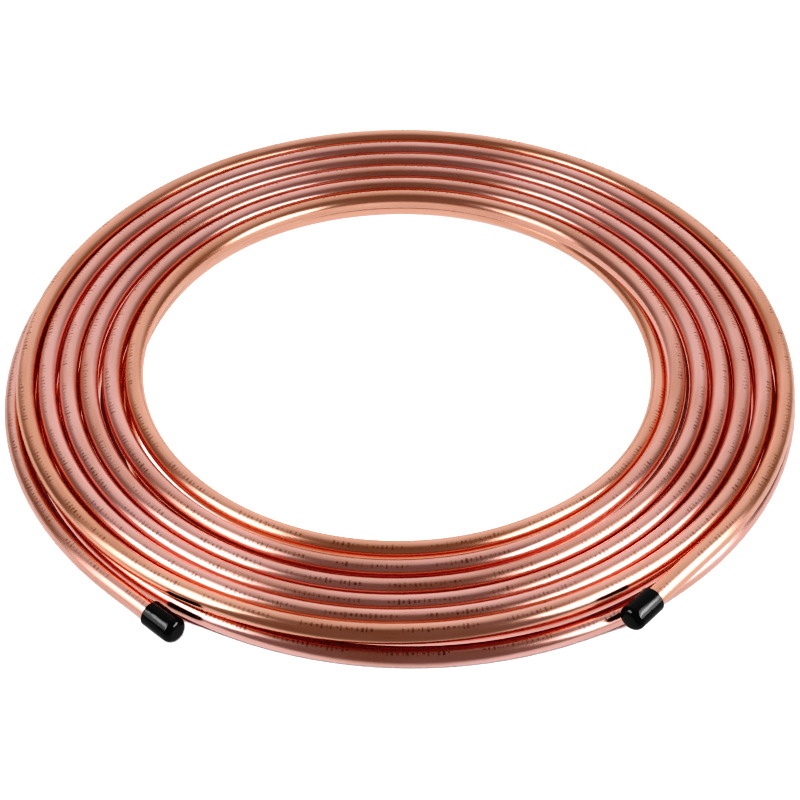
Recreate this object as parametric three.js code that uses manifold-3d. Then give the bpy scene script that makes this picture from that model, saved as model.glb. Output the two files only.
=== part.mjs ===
// Soft copper tube wound as a flat coil of two layers, with a push-on cap on each end.
// Millimetres, +Z up. The origin is under the middle of the coil's outline, on the floor it lies on.
import * as THREE from 'three';
import { mergeVertices } from 'three/addons/utils/BufferGeometryUtils.js';
import Module from 'manifold-3d';

// Driving dimensions: the tube
const TUBE_DIAMETER = 12.7; // outside
const TUBE_WALL = 0.9;
const BORE_DEPTH = 60; // how far the open bore is cut in from each end
const TOP_STRAIGHT_END = 84; // straight length at the end of the top layer
const BOTTOM_STRAIGHT_END = 56; // and of the bottom layer

// Driving dimensions: the winding. A place on it is given in turns from the end of the top
// layer: inwards along that layer, down a step, and outwards along the bottom layer.
const TURNS = 10.827;
const START_ANGLE = -59.2; // degrees from +X, at the end of the top layer
const TOP_RADIUS = 254.4; // tube centre at the end of the top layer
const TOP_PITCH = 14; // centre to centre of neighbouring turns
const BOTTOM_OVERHANG = 6.3; // how much wider the bottom layer is at its own end
const BOTTOM_PITCH = 16.6; // the bottom layer lies looser
const BOTTOM_SHIFT = 5; // how far the bottom layer's axis lies towards +X
const STEP_DOWN_START = 5.98; // turns
const STEP_DOWN_LENGTH = 0.24; // turns
const STEP_OUT_START = 6.08; // turns
const STEP_OUT_LENGTH = 0.3; // turns
const LAYER_GAP = 0.3; // clearance between the two layers

// Where the tube is laid unevenly by hand: around a place in turns, over a spread of turns to
// either side of it, it lies further out and higher by these lengths.
const UNEVEN_PLACES = [
  { turns: 0.925, spread: 0.2, out: -0.6, up: 2.4 },
  { turns: 1.93, spread: 0.2, out: 0.2, up: 0.7 },
  { turns: 2.88, spread: 0.28, out: 1.2, up: 0 },
  { turns: 3.84, spread: 0.32, out: 1.8, up: 0 },
  { turns: 5.09, spread: 0.14, out: -1, up: 0 },
  { turns: 5.86, spread: 0.28, out: -2.2, up: 0 },
  { turns: 6.65, spread: 0.16, out: -6.9, up: 0 },
  { turns: 9.64, spread: 0.28, out: 3, up: 0 },
  { turns: 10.28, spread: 0.22, out: -2, up: 0 },
];

// Driving dimensions: the caps
const CAP_WALL = 1.6;
const CAP_LENGTH = 24;
const CAP_END_WALL = 3;
const CAP_EDGE = 4.5; // radius of the rounded closed end
const CAP_GAP = 0.3; // clearance between cap and tube
const CAP_CLIMB = 0.16; // turns over which a capped end rises on to its cap

// Facets
const TUBE_SIDES = 12;
const BORE_SIDES = 8;
const CAP_SIDES = 24;
const CAP_EDGE_STEPS = 4;
const STATIONS = 32; // in each turn
const SHORTEST_STEP = 0.2; // of the distance between stations
const MERGE_DISTANCE = 1e-4;
const CUT_OVERRUN = 2; // how far a bore's cutter starts outside the tube

const copper = new THREE.MeshStandardMaterial({ color: 0xc47a5c, roughness: 0.25, metalness: 1 });
const blackVinyl = new THREE.MeshStandardMaterial({ color: 0x0c0c0e, roughness: 0.2, metalness: 0 });

const { degToRad, lerp, smoothstep, clamp } = THREE.MathUtils;
const FULL_TURN = 2 * Math.PI;
const UP = new THREE.Vector3(0, 0, 1);
const tubeRadius = TUBE_DIAMETER / 2;
const boreRadius = tubeRadius - TUBE_WALL;
const tubeCorner = tubeRadius / Math.cos(Math.PI / TUBE_SIDES); // the facets touch the true circle
const capBore = tubeCorner + CAP_GAP;
const capRadius = capBore + CAP_WALL;
const layerHeight = TUBE_DIAMETER + LAYER_GAP;
const bottomRadius = TOP_RADIUS + BOTTOM_OVERHANG; // tube centre at the end of the bottom layer
const turnLength = FULL_TURN * TOP_RADIUS;
const firstBend = TOP_STRAIGHT_END / turnLength; // where the tube starts and stops curving, in turns
const lastBend = TURNS - BOTTOM_STRAIGHT_END / turnLength;

function windingAngle(turns) {
  return degToRad(START_ANGLE) + FULL_TURN * turns;
}

// How far the tube lies out of its even winding, outwards and upwards.
function unevenness(turns) {
  const shift = { out: 0, up: 0 };
  for (const place of UNEVEN_PLACES) {
    const away = clamp((turns - place.turns) / place.spread, -1, 1);
    const share = (1 + Math.cos(Math.PI * away)) / 2;
    shift.out += place.out * share;
    shift.up += place.up * share;
  }
  return shift;
}

// A capped end lies higher by the cap's wall, and comes down to its layer over CAP_CLIMB.
function capClimb(turns) {
  const fromTopEnd = smoothstep(turns, firstBend, CAP_CLIMB);
  const fromBottomEnd = smoothstep(TURNS - turns, TURNS - lastBend, CAP_CLIMB);
  return (capRadius - tubeRadius) * (1 - Math.min(fromTopEnd, fromBottomEnd));
}

// The winding itself, without the straight ends.
function windingPoint(turns) {
  const fromEnd = TURNS - turns;
  const out = smoothstep(turns, STEP_OUT_START, STEP_OUT_START + STEP_OUT_LENGTH);
  const down = smoothstep(turns, STEP_DOWN_START, STEP_DOWN_START + STEP_DOWN_LENGTH);
  const top = TOP_RADIUS - TOP_PITCH * turns;
  const bottom = bottomRadius - BOTTOM_PITCH * fromEnd;
  const shift = unevenness(turns);
  const radius = lerp(top, bottom, out) + shift.out;
  const angle = windingAngle(turns);
  return new THREE.Vector3(
    radius * Math.cos(angle) + BOTTOM_SHIFT * out,
    radius * Math.sin(angle),
    tubeRadius + layerHeight * (1 - down) + capClimb(turns) + shift.up,
  );
}

// The tube's centre line: the winding, which runs on straight over its last stretch at each end.
// Every section stands upright, so that the tube's top and bottom facets are level.
class TubePath extends THREE.Curve {
  constructor(from, to) {
    super();
    this.turns = [from, ...stationsBetween(from, to), to];
  }

  heading(turns) {
    const angle = windingAngle(clamp(turns, firstBend, lastBend));
    return new THREE.Vector3(-Math.sin(angle), Math.cos(angle), 0);
  }

  at(turns) {
    const wound = clamp(turns, firstBend, lastBend);
    return windingPoint(wound).addScaledVector(this.heading(turns), (turns - wound) * turnLength);
  }

  getPoint(u, target = new THREE.Vector3()) {
    const place = u * (this.turns.length - 1);
    const index = Math.min(Math.floor(place), this.turns.length - 2);
    return target.copy(this.at(lerp(this.turns[index], this.turns[index + 1], place - index)));
  }

  getUtoTmapping(u) {
    return u;
  }

  computeFrenetFrames() {
    const tangents = this.turns.map((turns) => this.heading(turns));
    const normals = tangents.map((tangent) => new THREE.Vector3().crossVectors(UP, tangent));
    const binormals = tangents.map(() => UP.clone());
    return { tangents, normals, binormals };
  }
}

// Sections lie at the same angles in every turn, so neighbouring turns keep their distance, and
// one more lies where each straight end starts.
function stationsBetween(from, to) {
  const lead = START_ANGLE / 360;
  const first = Math.ceil((firstBend + lead) * STATIONS + SHORTEST_STEP);
  const last = Math.floor((lastBend + lead) * STATIONS - SHORTEST_STEP);
  const round = Array.from({ length: last - first + 1 }, (_, index) => (first + index) / STATIONS - lead);
  return [firstBend, ...round, lastBend].filter((turns) => turns > from && turns < to);
}

function sweep(path, radius, sides) {
  const corners = Array.from({ length: sides }, (_, index) => {
    const angle = ((index + 0.5) * FULL_TURN) / sides;
    return new THREE.Vector2(radius * Math.cos(angle), radius * Math.sin(angle));
  });
  const steps = path.turns.length - 1;
  return new THREE.ExtrudeGeometry(new THREE.Shape(corners), { steps, extrudePath: path });
}

const wasm = await Module();
wasm.setup();

function toSolid(geometry) {
  const bare = geometry.clone();
  bare.deleteAttribute('normal');
  bare.deleteAttribute('uv');
  const merged = mergeVertices(bare, MERGE_DISTANCE);
  const vertProperties = new Float32Array(merged.attributes.position.array);
  const triVerts = new Uint32Array(merged.index.array);
  return new wasm.Manifold(new wasm.Mesh({ numProp: 3, vertProperties, triVerts }));
}

function toGeometry(solid) {
  const mesh = solid.getMesh();
  const geometry = new THREE.BufferGeometry();
  geometry.setAttribute('position', new THREE.BufferAttribute(mesh.vertProperties, mesh.numProp));
  geometry.setIndex(new THREE.BufferAttribute(mesh.triVerts, 1));
  geometry.computeVertexNormals();
  return geometry;
}

// One tube from end to end. Its bore is open at both ends.
function makeTube() {
  const boreTurns = BORE_DEPTH / turnLength;
  const overrun = CUT_OVERRUN / turnLength;
  let tube = toSolid(sweep(new TubePath(0, TURNS), tubeCorner, TUBE_SIDES));
  for (const bore of [new TubePath(-overrun, boreTurns), new TubePath(TURNS - boreTurns, TURNS + overrun)]) {
    tube = tube.subtract(toSolid(sweep(bore, boreRadius, BORE_SIDES)));
  }
  return toGeometry(tube);
}

// A cup turned about +Y, with its mouth at the top and the inside of its closed end at the origin.
function makeCap() {
  const mouth = CAP_LENGTH - CAP_END_WALL;
  const profile = [
    new THREE.Vector2(0, 0),
    new THREE.Vector2(capBore, 0),
    new THREE.Vector2(capBore, mouth),
    new THREE.Vector2(capRadius, mouth),
  ];
  for (let step = 0; step <= CAP_EDGE_STEPS; step += 1) {
    const angle = (step / CAP_EDGE_STEPS) * (Math.PI / 2);
    profile.push(new THREE.Vector2(
      capRadius - CAP_EDGE * (1 - Math.cos(angle)),
      CAP_EDGE - CAP_END_WALL - CAP_EDGE * Math.sin(angle),
    ));
  }
  profile.push(new THREE.Vector2(0, -CAP_END_WALL));
  return toGeometry(toSolid(new THREE.LatheGeometry(profile.reverse(), CAP_SIDES)));
}

const coil = new THREE.Group();

const tube = new THREE.Mesh(makeTube(), copper);
tube.name = 'copper_tube';
coil.add(tube);

// Each cap slides over an end of the tube until its closed end all but meets it.
const centreLine = new TubePath(0, TURNS);
const capShape = makeCap();
for (const [name, end, inward] of [['top_end_cap', 0, 1], ['bottom_end_cap', TURNS, -1]]) {
  const cap = new THREE.Mesh(capShape, blackVinyl);
  const along = centreLine.heading(end).multiplyScalar(inward);
  cap.name = name;
  cap.position.copy(centreLine.at(end)).addScaledVector(along, -CAP_GAP);
  cap.quaternion.setFromUnitVectors(new THREE.Vector3(0, 1, 0), along);
  coil.add(cap);
}

const outline = new THREE.Box3().setFromObject(coil);
coil.position.copy(outline.getCenter(new THREE.Vector3())).negate();
coil.position.z = -outline.min.z;

export default coil;
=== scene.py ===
"""A flat coil of half-inch soft copper tube with a black vinyl cap on each end, lying on a pale floor.

The tube is made straight, with its wall, its drawing lines and its row of ink marks, and is then
bent along the winding, as the real one is.
"""

import itertools
import math

import bmesh
import bpy
from mathutils import Matrix, Quaternion, Vector


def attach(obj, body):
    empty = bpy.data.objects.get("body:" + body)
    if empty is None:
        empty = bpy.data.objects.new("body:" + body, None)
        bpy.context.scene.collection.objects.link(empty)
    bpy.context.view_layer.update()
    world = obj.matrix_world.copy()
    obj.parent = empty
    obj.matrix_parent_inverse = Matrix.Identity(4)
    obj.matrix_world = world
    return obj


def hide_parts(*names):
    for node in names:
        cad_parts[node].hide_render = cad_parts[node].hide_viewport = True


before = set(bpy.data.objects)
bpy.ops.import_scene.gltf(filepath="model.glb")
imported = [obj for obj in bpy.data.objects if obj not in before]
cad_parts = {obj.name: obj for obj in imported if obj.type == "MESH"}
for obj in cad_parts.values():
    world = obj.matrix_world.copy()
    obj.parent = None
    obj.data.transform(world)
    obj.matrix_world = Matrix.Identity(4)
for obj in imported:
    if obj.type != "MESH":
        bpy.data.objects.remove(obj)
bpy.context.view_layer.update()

MM = 0.001  # metres
FULL_TURN = 2 * math.pi
UP = Vector((0, 0, 1))
VIEW_SIZE = 800  # pixels, both ways
SENSOR = 36  # millimetres

# The tube
TUBE_RADIUS = 6.35 * MM
TUBE_WALL = 0.9 * MM
TOP_STRAIGHT_END = 84 * MM
BOTTOM_STRAIGHT_END = 56 * MM

# The winding, in turns from the end of the top layer: inwards along that layer, down a step, and
# outwards along the bottom layer
TURNS = 10.827
START_ANGLE = math.radians(-59.2)
TOP_RADIUS = 254.4 * MM
TOP_PITCH = 14 * MM
BOTTOM_OVERHANG = 6.3 * MM
BOTTOM_PITCH = 16.6 * MM
BOTTOM_SHIFT = 5 * MM
STEP_DOWN_START = 5.98
STEP_DOWN_LENGTH = 0.24
STEP_OUT_START = 6.08
STEP_OUT_LENGTH = 0.3
LAYER_HEIGHT = 13 * MM
CAP_LIFT = 2.124 * MM
CAP_CLIMB = 0.16
UNEVEN_PLACES = (  # turns, spread in turns, and how far the tube lies out and up
    (0.925, 0.2, -0.6 * MM, 2.4 * MM),
    (1.93, 0.2, 0.2 * MM, 0.7 * MM),
    (2.88, 0.28, 1.2 * MM, 0),
    (3.84, 0.32, 1.8 * MM, 0),
    (5.09, 0.14, -1 * MM, 0),
    (5.86, 0.28, -2.2 * MM, 0),
    (6.65, 0.16, -6.9 * MM, 0),
    (9.64, 0.28, 3 * MM, 0),
    (10.28, 0.22, -2 * MM, 0),
)
TURN_LENGTH = FULL_TURN * TOP_RADIUS
FIRST_BEND = TOP_STRAIGHT_END / TURN_LENGTH
LAST_BEND = TURNS - BOTTOM_STRAIGHT_END / TURN_LENGTH

# The caps
CAP_RADIUS = 8.47 * MM
CAP_BORE = 6.4 * MM  # radius
CAP_DEPTH = 21 * MM  # inside
CAP_END_WALL = 3 * MM
CAP_EDGE = 4.5 * MM
CAP_LIP = 0.6 * MM
CAP_GAP = 0.3 * MM  # between the tube's end and the closed end

# The copper's looks. Waves, patches and lines are counted over a metre, and an edge is the two
# levels of a noise between which a thing sets in.
MAUVE_COPPER = "#fad4ce"
ORANGE_COPPER = "#fad1c1"
BROWN_FILM = "#dfb29c"
OUTER_TURN_ENDS = (1.3, 1.9)  # metres along the tube: the outermost and the inmost turn are orange
INNER_TURN_STARTS = (6.8, 7.5)
INNER_TURN_ENDS = (8.7, 9.4)
FILM_WAVES = 3  # 330 mm long
FILM_DRIFT = 0.4
PATCHES = 90  # 11 mm wide
PATCH_STRETCH = (0.12, 1, 1)  # and longer along the tube than round it
PATCH_EDGE = (0.42, 0.72)
PATCH_DEPTH = 0.5
DIE_LINES = 900  # 1.1 mm apart, where the die's own are finer than a picture shows
DIE_LINE_STRETCH = (0.01, 1, 1)
DIE_LINE_DEPTH = 0.02 * MM
DIE_LINE_STRENGTH = 0.6
COPPER_ROUGHNESS = (0.18, 0.22)
PATCH_ROUGHNESS = 0.1  # added where a patch lies
INK_ROUGHNESS = 0.1  # and where there is ink
NOISE_BODY = (0.3, 0.7)  # nearly all of a noise lies between these

# The ink dashes
INK = "#7d665d"
INK_DEPTH = 0.52
DASH_LEAN = (math.radians(14), math.radians(30))  # outwards from the tube's top
DASH_WANDER = 2  # waves in a metre, 500 mm long
DASH_PITCH = 3 * MM
DASH_MIDDLE = (0.35, 0.65)  # shares of DASH_PITCH, as are the next two
DASH_HALF_WIDTH = (0.12, 0.3)
DASH_SIDE = 0.08
DASH_HEIGHT = 3.8 * MM
DASH_HALF_HEIGHT = (0.15, 0.5)  # shares of DASH_HEIGHT
DASH_END = 0.2 * MM
GROUP_PITCH = 62 * MM
GROUP_SHARE = 0.74  # of GROUP_PITCH, and then comes a gap
GROUP_END = 0.01
WORN_STRETCHES = 60  # 17 mm long
WORN_EDGE = (0.35, 0.55)
WORN_INK = 0.25  # what is left of the ink there
INK_SPECKS = 900  # 1.1 mm wide
SPECK_EDGE = (0.36, 0.5)

# The vinyl's looks
BLACK_VINYL = "#101012"
VINYL_IOR = 2.3
VINYL_ROUGHNESS = (0.05, 0.13)
SMEARS = 90  # 11 mm wide
SKIN_WAVES = 250  # 4 mm long
SKIN_DEPTH = 0.4 * MM
SKIN_STRENGTH = 0.35

# Facets
TUBE_SIDES = 24
TUBE_RINGS = 1300
CAP_SIDES = 64
CAP_EDGE_STEPS = 8
MERGE_DISTANCE = 0.001 * MM
STRAIGHT = "straightened"  # each point's place on the tube before it is bent
LENGTHWISE = "lengthwise"  # the way that the tube runs at each point


def smoothstep(value, start, stop):
    share = min(max((value - start) / (stop - start), 0), 1)
    return share * share * (3 - 2 * share)


def winding_angle(turns):
    return START_ANGLE + FULL_TURN * turns


def unevenness(turns):
    """How far the tube lies out of its even winding, outwards and upwards."""
    out = up = 0
    for place, spread, outwards, upwards in UNEVEN_PLACES:
        away = min(max((turns - place) / spread, -1), 1)
        share = (1 + math.cos(math.pi * away)) / 2
        out += outwards * share
        up += upwards * share
    return out, up


def cap_climb(turns):
    """A capped end lies higher by the cap's wall."""
    from_top_end = smoothstep(turns, FIRST_BEND, CAP_CLIMB)
    from_bottom_end = smoothstep(TURNS - turns, TURNS - LAST_BEND, CAP_CLIMB)
    return CAP_LIFT * (1 - min(from_top_end, from_bottom_end))


def winding_point(turns):
    from_end = TURNS - turns
    out = smoothstep(turns, STEP_OUT_START, STEP_OUT_START + STEP_OUT_LENGTH)
    down = smoothstep(turns, STEP_DOWN_START, STEP_DOWN_START + STEP_DOWN_LENGTH)
    top = TOP_RADIUS - TOP_PITCH * turns
    bottom = TOP_RADIUS + BOTTOM_OVERHANG - BOTTOM_PITCH * from_end
    uneven_out, uneven_up = unevenness(turns)
    radius = top * (1 - out) + bottom * out + uneven_out
    angle = winding_angle(turns)
    height = TUBE_RADIUS + LAYER_HEIGHT * (1 - down) + cap_climb(turns) + uneven_up
    return Vector((radius * math.cos(angle) + BOTTOM_SHIFT * out, radius * math.sin(angle), height))


def heading(turns):
    angle = winding_angle(min(max(turns, FIRST_BEND), LAST_BEND))
    return Vector((-math.sin(angle), math.cos(angle), 0))


def centre_line(turns):
    """The tube's middle. It runs on straight over its last stretch at each end."""
    wound = min(max(turns, FIRST_BEND), LAST_BEND)
    return winding_point(wound) + heading(turns) * (turns - wound) * TURN_LENGTH


RING_MIDDLES = [centre_line(TURNS * ring / TUBE_RINGS) for ring in range(TUBE_RINGS + 1)]


def coil_middle():
    """The middle of the coil's outline, which lies over the frame's origin."""
    spans = [[middle[axis] for middle in RING_MIDDLES] for axis in (0, 1)]
    return Vector([(min(span) + max(span)) / 2 for span in spans] + [0])


def lengths_to_rings():
    """The length of tube up to each of its rings."""
    steps = [(after - before).length for before, after in zip(RING_MIDDLES, RING_MIDDLES[1:])]
    return [0, *itertools.accumulate(steps)]


COIL_MIDDLE = coil_middle()
LENGTHS = lengths_to_rings()


def new_piece(name, shape, material):
    """Makes a smooth object of a bmesh, and frees it."""
    mesh = bpy.data.meshes.new(name)
    shape.to_mesh(mesh)
    shape.free()
    mesh.materials.append(material)
    for face in mesh.polygons:
        face.use_smooth = True
    piece = bpy.data.objects.new(name, mesh)
    bpy.context.scene.collection.objects.link(piece)
    return piece


# ---------------------------------------------------------------- materials


def srgb(colour):
    """A hex colour as linear red, green, blue and alpha."""
    channels = [int(colour[place:place + 2], 16) / 255 for place in (1, 3, 5)]
    return [c / 12.92 if c <= 0.04045 else ((c + 0.055) / 1.055) ** 2.4 for c in channels] + [1]


def add(tree, kind, inputs=(), **settings):
    """Adds a node. inputs gives sockets, by name or number, a value or the output that feeds them."""
    node = tree.nodes.new("ShaderNode" + kind)
    for setting, value in settings.items():
        setattr(node, setting, value)
    for socket, value in dict(inputs).items():
        if isinstance(value, bpy.types.NodeSocket):
            tree.links.new(value, node.inputs[socket])
        else:
            node.inputs[socket].default_value = value
    return node


def new_material(name, **constants):
    material = bpy.data.materials.new(name)
    material.use_nodes = True
    shader = material.node_tree.nodes["Principled BSDF"]
    for socket, value in constants.items():
        shader.inputs[socket.replace("_", " ")].default_value = value
    return material, material.node_tree, shader


def math_node(tree, operation, *values, **settings):
    return add(tree, "Math", enumerate(values), operation=operation, **settings).outputs[0]


def between(tree, value, low, high, bottom=0, top=1, **settings):
    """Runs from bottom to top as value runs from low to high."""
    inputs = {"Value": value, "From Min": low, "From Max": high, "To Min": bottom, "To Max": top}
    return add(tree, "MapRange", inputs, **settings).outputs[0]


def noise(tree, place, scale, detail=2):
    return add(tree, "TexNoise", {"Vector": place, "Scale": scale, "Detail": detail}).outputs[0]


def mixed(tree, share, one, other):
    return add(tree, "Mix", {0: share, 6: one, 7: other}, data_type="RGBA").outputs[2]


def stretched(tree, place, scales):
    return add(tree, "VectorMath", {0: place, 1: scales}, operation="MULTIPLY").outputs[0]


def drawn_copper():
    """Bright soft copper, drawn and then wound.

    The metal itself is a clear salmon pink. A thin oxide film, from a few days in the air, turns it
    cream to orange here and mauve there, slowly along the tube and in soft patches where it was
    handled. The die left fine lines along it, which are drawn coarser than they are so that they
    show. A worn row of ink dashes runs along its upper side.
    """
    material, tree, shader = new_material(
        "drawn copper", Metallic=1, Anisotropic=0.5, Anisotropic_Rotation=0.25,
    )
    grain = add(tree, "Attribute", attribute_name=LENGTHWISE)
    tree.links.new(grain.outputs["Vector"], shader.inputs["Tangent"])
    place = add(tree, "Attribute", attribute_name=STRAIGHT).outputs["Vector"]
    part = add(tree, "SeparateXYZ", {0: place})
    along = part.outputs["X"]

    outermost = between(tree, along, *OUTER_TURN_ENDS, 1, 0)
    inner_start = between(tree, along, *INNER_TURN_STARTS)
    inner_end = between(tree, along, *INNER_TURN_ENDS, 1, 0)
    film = math_node(tree, "ADD", outermost, math_node(tree, "MULTIPLY", inner_start, inner_end))
    slow = noise(tree, add(tree, "CombineXYZ", {0: along}).outputs[0], FILM_WAVES)
    drift = between(tree, slow, *NOISE_BODY, -FILM_DRIFT, FILM_DRIFT)
    film = math_node(tree, "ADD", film, drift, use_clamp=True)
    colour = mixed(tree, film, srgb(MAUVE_COPPER), srgb(ORANGE_COPPER))
    handled = noise(tree, stretched(tree, place, PATCH_STRETCH), PATCHES, detail=5)
    patches = between(tree, handled, *PATCH_EDGE)
    colour = mixed(tree, math_node(tree, "MULTIPLY", patches, PATCH_DEPTH), colour, srgb(BROWN_FILM))

    lines = noise(tree, stretched(tree, place, DIE_LINE_STRETCH), DIE_LINES, detail=3)
    roughness = between(tree, lines, *NOISE_BODY, *COPPER_ROUGHNESS)
    roughness = math_node(tree, "MULTIPLY_ADD", patches, PATCH_ROUGHNESS, roughness)

    ink = ink_dashes(tree, along, part.outputs["Y"], part.outputs["Z"])
    colour = mixed(tree, math_node(tree, "MULTIPLY", ink, INK_DEPTH), colour, srgb(INK))
    roughness = math_node(tree, "MULTIPLY_ADD", ink, INK_ROUGHNESS, roughness)

    relief = {"Height": lines, "Distance": DIE_LINE_DEPTH, "Strength": DIE_LINE_STRENGTH}
    bump = add(tree, "Bump", relief)
    tree.links.new(colour, shader.inputs["Base Color"])
    tree.links.new(roughness, shader.inputs["Roughness"])
    tree.links.new(bump.outputs[0], shader.inputs["Normal"])
    return material


def ink_dashes(tree, along, outwards, upwards):
    """A worn row of short upright dashes in groups, with no lettering."""
    lean = math_node(tree, "ARCTAN2", outwards, upwards)
    slow = add(tree, "CombineXYZ", {0: along})
    wander = between(tree, noise(tree, slow.outputs[0], DASH_WANDER, detail=1), *NOISE_BODY, *DASH_LEAN)
    across = math_node(tree, "MULTIPLY", math_node(tree, "SUBTRACT", lean, wander), TUBE_RADIUS)

    cell = math_node(tree, "DIVIDE", along, DASH_PITCH)
    chance = add(tree, "TexWhiteNoise", {"W": math_node(tree, "FLOOR", cell)}, noise_dimensions="1D")
    chances = add(tree, "SeparateColor", {0: chance.outputs["Color"]}).outputs
    middle = between(tree, chances[0], 0, 1, *DASH_MIDDLE)
    half_width = between(tree, chances[1], 0, 1, *DASH_HALF_WIDTH)
    half_height = between(tree, chances[2], 0, 1, *(DASH_HEIGHT * share for share in DASH_HALF_HEIGHT))
    aside = math_node(tree, "ABSOLUTE", math_node(tree, "SUBTRACT", math_node(tree, "FRACT", cell), middle))
    upright = between(tree, math_node(tree, "SUBTRACT", half_width, aside), 0, DASH_SIDE)
    off_middle = math_node(tree, "ABSOLUTE", across)
    tall = between(tree, math_node(tree, "SUBTRACT", half_height, off_middle), 0, DASH_END)
    group = math_node(tree, "FRACT", math_node(tree, "DIVIDE", along, GROUP_PITCH))
    grouped = between(tree, group, GROUP_SHARE, GROUP_SHARE + GROUP_END, 1, 0)
    worn = between(tree, noise(tree, slow.outputs[0], WORN_STRETCHES, detail=3), *WORN_EDGE, WORN_INK, 1)
    spot = add(tree, "CombineXYZ", {0: along, 1: across}).outputs[0]
    broken = between(tree, noise(tree, spot, INK_SPECKS), *SPECK_EDGE)
    ink = upright
    for share in (tall, grouped, worn, broken):
        ink = math_node(tree, "MULTIPLY", ink, share)
    return ink


def black_vinyl():
    """Glossy black dipped vinyl. Its skin is a little uneven, so its highlights waver.

    Its IOR is above vinyl's own 1.5, so that its highlights stand out from the contrasty print.
    """
    material, tree, shader = new_material("dipped black vinyl", IOR=VINYL_IOR, Base_Color=srgb(BLACK_VINYL))
    place = add(tree, "TexCoord").outputs["Object"]
    roughness = between(tree, noise(tree, place, SMEARS, detail=4), *NOISE_BODY, *VINYL_ROUGHNESS)
    skin = noise(tree, place, SKIN_WAVES)
    bump = add(tree, "Bump", {"Height": skin, "Distance": SKIN_DEPTH, "Strength": SKIN_STRENGTH})
    tree.links.new(roughness, shader.inputs["Roughness"])
    tree.links.new(bump.outputs[0], shader.inputs["Normal"])
    return material


# ---------------------------------------------------------------- pieces


def straight_tube(length):
    """An open tube with its wall, from the origin along +X."""
    shape = bmesh.new()
    bmesh.ops.create_cone(
        shape, cap_ends=False, segments=TUBE_SIDES, radius1=TUBE_RADIUS, radius2=TUBE_RADIUS, depth=length,
        matrix=Matrix.Translation((length / 2, 0, 0)) @ Matrix.Rotation(math.pi / 2, 4, "Y"),
    )
    long_edges = [edge for edge in shape.edges if edge.calc_length() > length / 2]
    bmesh.ops.subdivide_edges(shape, edges=long_edges, cuts=TUBE_RINGS - 1)
    bmesh.ops.recalc_face_normals(shape, faces=shape.faces)
    bmesh.ops.solidify(shape, geom=shape.faces[:], thickness=TUBE_WALL)
    return shape


def make_tube(material):
    length = TURNS * TURN_LENGTH
    shape = straight_tube(length)
    straightened = shape.verts.layers.float_vector.new(STRAIGHT)
    lengthwise = shape.verts.layers.float_vector.new(LENGTHWISE)
    for vert in shape.verts:
        turns = vert.co.x / TURN_LENGTH
        vert[straightened] = (LENGTHS[round(turns / TURNS * TUBE_RINGS)], vert.co.y, vert.co.z)
        vert[lengthwise] = heading(turns)
        outwards = heading(turns).cross(UP)
        vert.co = centre_line(turns) - COIL_MIDDLE + outwards * vert.co.y + UP * vert.co.z
    return new_piece("drawn_copper_tube", shape, material)


def make_cap(name, end, inward, material):
    """A cup over one end of the tube."""
    shape = bmesh.new()
    outline = (
        (0, -CAP_END_WALL), (CAP_RADIUS, -CAP_END_WALL), (CAP_RADIUS, CAP_DEPTH), (CAP_BORE, CAP_DEPTH),
        (CAP_BORE, 0), (0, 0),
    )
    verts = [shape.verts.new((radius, 0, height)) for radius, height in outline]
    for start, stop in zip(verts, verts[1:]):
        shape.edges.new((start, stop))
    for corner, radius in ((verts[1], CAP_EDGE), (verts[2], CAP_LIP), (verts[3], CAP_LIP)):
        bmesh.ops.bevel(
            shape, geom=[corner], offset=radius, segments=CAP_EDGE_STEPS, profile=0.5, affect="VERTICES",
            material=-1,
        )
    bmesh.ops.spin(
        shape, geom=shape.verts[:] + shape.edges[:], axis=UP, cent=(0, 0, 0), angle=FULL_TURN,
        steps=CAP_SIDES, use_merge=True,
    )
    bmesh.ops.remove_doubles(shape, verts=shape.verts, dist=MERGE_DISTANCE)
    bmesh.ops.recalc_face_normals(shape, faces=shape.faces)
    along = heading(end) * inward
    place = centre_line(end) - along * CAP_GAP - COIL_MIDDLE
    turn = along.to_track_quat("Z", "Y").to_matrix().to_4x4()
    bmesh.ops.transform(shape, matrix=Matrix.Translation(place) @ turn, verts=shape.verts)
    return new_piece(name, shape, material)


copper = drawn_copper()
vinyl = black_vinyl()

tube = make_tube(copper)
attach(tube, "root")
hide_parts("copper_tube")

for node, end, inward in (("top_end_cap", 0, 1), ("bottom_end_cap", TURNS, -1)):
    cap = make_cap("vinyl_" + node, end, inward, vinyl)
    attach(cap, "root")
    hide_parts(node)

# ---------------------------------------------------------------- studio

# The camera
CAMERA_AIM = Vector((-0.09, -28.4, 12.7)) * MM
CAMERA_DISTANCE = 1867.9 * MM
CAMERA_ELEVATION = 42.301  # degrees
CAMERA_FOCUS = 2862.3  # pixels of the view

# The room, and the paper behind the coil
ROOM_GLOW = 0.4
PAPER_GLOW = 0.55
PAPER_SIDES = (0.45, 0.9)  # it fades between these shares of the way to either side

# The table, in metres
FLOOR_RADIUS = 60
TABLE_GLOW = 0.92
TABLE_FRONT = -0.263  # the lit table top ends here, in front of the coil
TABLE_EDGE = 0.012
BURNT_OUT = (1.5, 1.5, 1.5, 1)  # what the camera sees of the table
# Painted shade: a dark red glow, tinted like the light off the copper, where the table lies under the coil
PAINTED_SHADE_UNDER_COIL = (0.26, 0.13, 0.13, 1)  # and of the table between the turns
OPEN_SKY = (0.2, 0.3)  # the share of the sky over the table from which it is burnt out to white
SKY_REACH = 1
OPENING_MIDDLE = (0, 0.008, 0)
OPENING_EDGE = (0.172, 0.176)

# The softboxes, in shares of their width and height out from their middle
SOFTBOX_MIDDLE = (0.5, 0.5, 0)
SOFTBOX_FADE = (0.31, 0.53)  # its sheet is brightest over the lamp
SOFTBOX_CORE = (0.04, 0.16)  # where the lamp itself, a level tube, shows through the sheet
CORE_GAIN = 1.2

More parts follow.
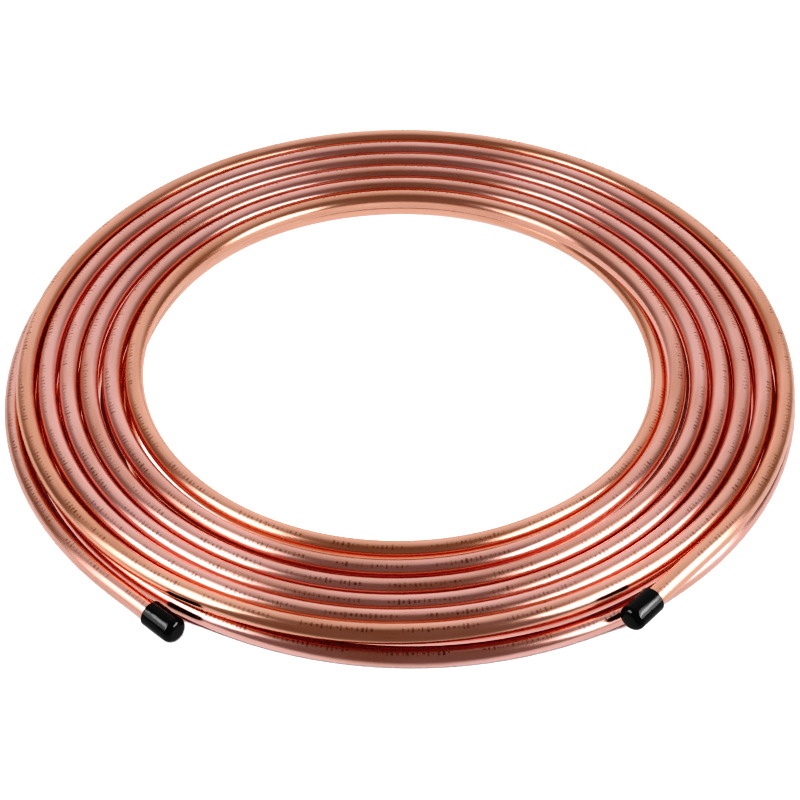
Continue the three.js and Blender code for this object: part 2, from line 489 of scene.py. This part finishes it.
# The print
BLACK_LEVEL = 0.19
BLACK_TOE = 0.065
CONTRAST = 1.25
PRINT_STEPS = (0.06, 0.12, 0.19, 0.25, 0.32, 0.4, 0.5, 0.62, 0.8)
GLOSSY_BOUNCES = 6  # they light the grooves between the turns


def direction(azimuth, elevation):
    """The way from the coil to a place at these angles, in degrees, from +X and from the floor."""
    a, e = math.radians(azimuth), math.radians(elevation)
    return Vector((math.cos(e) * math.cos(a), math.cos(e) * math.sin(a), math.sin(e)))


def make_floor():
    """A white table top, lit so evenly that nothing on it throws a shadow.

    The camera sees it burnt out to white, and between the turns a painted red glow for shade and the copper's
    light.
    """
    material, tree, shader = new_material(
        "lit white table", Base_Color=srgb("#000000"), Roughness=1, Specular_IOR_Level=0, Emission_Strength=1,
    )
    here = add(tree, "TexCoord").outputs["Object"]
    place = add(tree, "SeparateXYZ", {0: here})
    table = between(
        tree, place.outputs["Y"], TABLE_FRONT - TABLE_EDGE, TABLE_FRONT + TABLE_EDGE, ROOM_GLOW, TABLE_GLOW,
        interpolation_type="SMOOTHSTEP",
    )
    # Painted shade: inside the coil's opening and wherever the sky is open the table is white; under the
    # turns it shows the painted dark red shade
    reach = add(tree, "VectorMath", {0: here, 1: OPENING_MIDDLE}, operation="DISTANCE").outputs["Value"]
    opening = between(tree, reach, *OPENING_EDGE, 1, 0)
    sky = add(tree, "AmbientOcclusion", {"Distance": SKY_REACH}, samples=16)
    open_table = math_node(tree, "MAXIMUM", opening, between(tree, sky.outputs["AO"], *OPEN_SKY))
    seen = mixed(tree, open_table, PAINTED_SHADE_UNDER_COIL, BURNT_OUT)
    ray = add(tree, "LightPath")
    glow = mixed(tree, ray.outputs["Is Camera Ray"], table, seen)
    tree.links.new(glow, shader.inputs["Emission Color"])
    shape = bmesh.new()
    bmesh.ops.create_circle(shape, cap_ends=True, segments=64, radius=FLOOR_RADIUS)
    floor = new_piece("floor", shape, material)


def make_softbox(name, place, back, lean, width, height, radiance):
    """A flat light with a sheet over it.

    place is its direction and distance from the coil, back the direction that its back points in,
    and lean turns it in its own plane, in degrees.
    """
    light = bpy.data.lights.new(name, "AREA")
    light.shape = "RECTANGLE"
    light.size = width
    light.size_y = height
    light.energy = radiance * math.pi * width * height
    light.use_nodes = True
    tree = light.node_tree
    spot = add(tree, "NewGeometry").outputs["Parametric"]
    aside = add(tree, "VectorMath", {0: spot, 1: SOFTBOX_MIDDLE}, operation="SUBTRACT").outputs[0]
    away = add(tree, "VectorMath", {0: aside}, operation="ABSOLUTE").outputs[0]
    across, upwards = add(tree, "SeparateXYZ", {0: away}).outputs[:2]
    core = between(tree, upwards, *SOFTBOX_CORE, CORE_GAIN, 0, interpolation_type="SMOOTHSTEP")
    strength = math_node(tree, "ADD", core, 1)
    for reach in (across, upwards):
        fade = between(tree, reach, *SOFTBOX_FADE, 1, 0, interpolation_type="SMOOTHSTEP")
        strength = math_node(tree, "MULTIPLY", strength, fade)
    tree.links.new(strength, tree.nodes["Emission"].inputs["Strength"])
    softbox = bpy.data.objects.new(name, light)
    azimuth, elevation, distance = place
    softbox.location = direction(azimuth, elevation) * distance
    softbox.rotation_mode = "QUATERNION"
    turned = direction(*back).to_track_quat("Z", "Y")
    softbox.rotation_quaternion = turned @ Quaternion((0, 0, 1), math.radians(lean))
    softbox.visible_camera = False
    bpy.context.scene.collection.objects.link(softbox)


def make_room():
    """The room's own light: dim to the copper, but for a tall sheet of pale paper behind the coil."""
    world = bpy.data.worlds.new("studio")
    world.use_nodes = True
    world.cycles.sampling_method = "NONE"
    tree = world.node_tree
    bpy.context.scene.world = world
    way = add(tree, "TexCoord")
    part = add(tree, "SeparateXYZ", {0: way.outputs["Generated"]})
    behind = math_node(tree, "SQRT", between(tree, part.outputs["Y"], 0, 1))
    across = between(tree, math_node(tree, "ABSOLUTE", part.outputs["X"]), *PAPER_SIDES, PAPER_GLOW, 0)
    dim = math_node(tree, "MULTIPLY_ADD", behind, across, ROOM_GLOW)
    ray = add(tree, "LightPath")
    strength = add(tree, "Mix", {0: ray.outputs["Is Camera Ray"], 2: dim, 3: 1})
    tree.links.new(strength.outputs[0], tree.nodes["Background"].inputs["Strength"])
    tree.nodes["Background"].inputs["Color"].default_value = (1, 1, 1, 1)


def make_camera():
    camera = bpy.data.cameras.new("camera")
    camera.sensor_width = SENSOR
    camera.lens = CAMERA_FOCUS * SENSOR / VIEW_SIZE
    camera.clip_end = 4 * FLOOR_RADIUS
    viewer = bpy.data.objects.new("camera", camera)
    back = direction(-90, CAMERA_ELEVATION)
    viewer.location = CAMERA_AIM + back * CAMERA_DISTANCE
    viewer.rotation_mode = "QUATERNION"
    viewer.rotation_quaternion = back.to_track_quat("Z", "Y")
    bpy.context.scene.collection.objects.link(viewer)
    bpy.context.scene.camera = viewer


def printed(light):
    """How light a light comes out in the print."""
    share = (light - BLACK_LEVEL) / (1 - BLACK_LEVEL)
    return ((share + math.hypot(share, BLACK_TOE)) / 2) ** CONTRAST


def make_contrast():
    """A contrasty print: what is darker than BLACK_LEVEL comes out all but black."""
    view = bpy.context.scene.view_settings
    view.view_transform = "Standard"
    view.use_curve_mapping = True
    curve = view.curve_mapping.curves[3]
    for light in PRINT_STEPS:
        curve.points.new(light, printed(light))
    view.curve_mapping.update()


make_floor()
make_room()
bpy.context.scene.cycles.glossy_bounces = GLOSSY_BOUNCES
make_softbox(
    "softbox_right", place=(-38, 24, 0.95), back=(8, 18), lean=-8, width=1.04, height=0.88, radiance=1.65,
)
make_softbox(
    "softbox_left", place=(-145, 31, 0.95), back=(168, 18), lean=6, width=0.8, height=1, radiance=1.22,
)
make_camera()
make_contrast()
